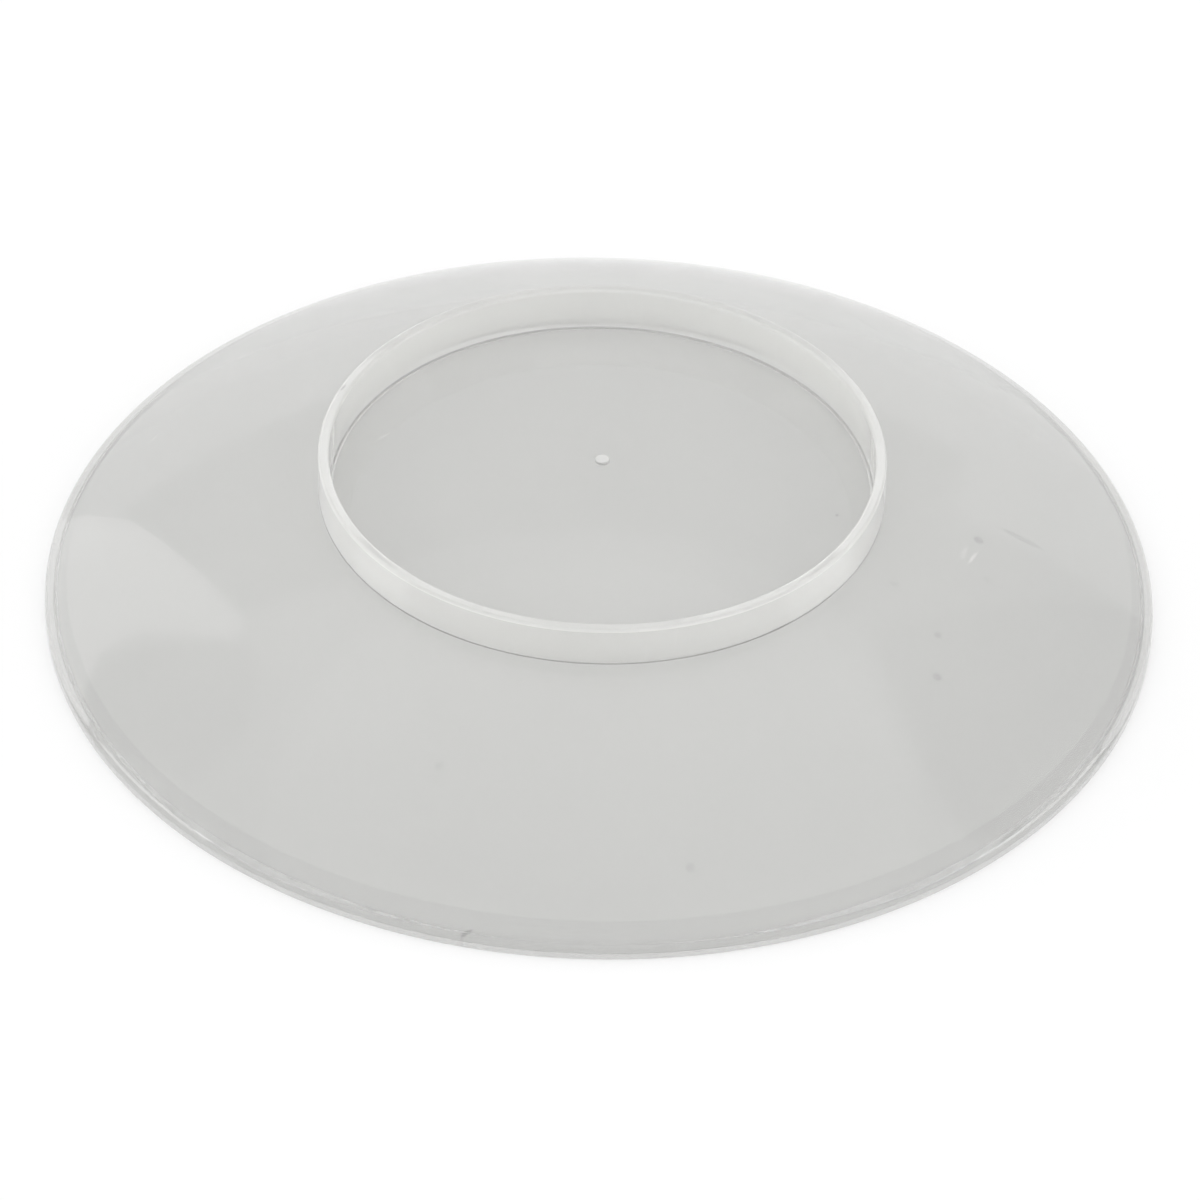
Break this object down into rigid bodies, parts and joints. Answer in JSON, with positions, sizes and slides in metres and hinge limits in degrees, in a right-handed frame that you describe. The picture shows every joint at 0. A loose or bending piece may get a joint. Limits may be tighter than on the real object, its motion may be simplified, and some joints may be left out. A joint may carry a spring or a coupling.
{
  "type": "watch glass",
  "caption": "Shallow round dish of milky plastic, used to cover a beaker or hold a sample, with a ring foot on its convex side. It lies rim down.",
  "frame": {"origin": "centre of the rim's flat underside", "axes": "+Z is the dish's axis, from the rim towards the foot"},
  "size_m": [0.1, 0.1, 0.0163],
  "materials": {
    "natural_polypropylene": "glossy moulded, milky and see-through"
  },
  "bodies": {
    "root": {"watch_glass": "natural_polypropylene"}
  },
  "joints": []
}
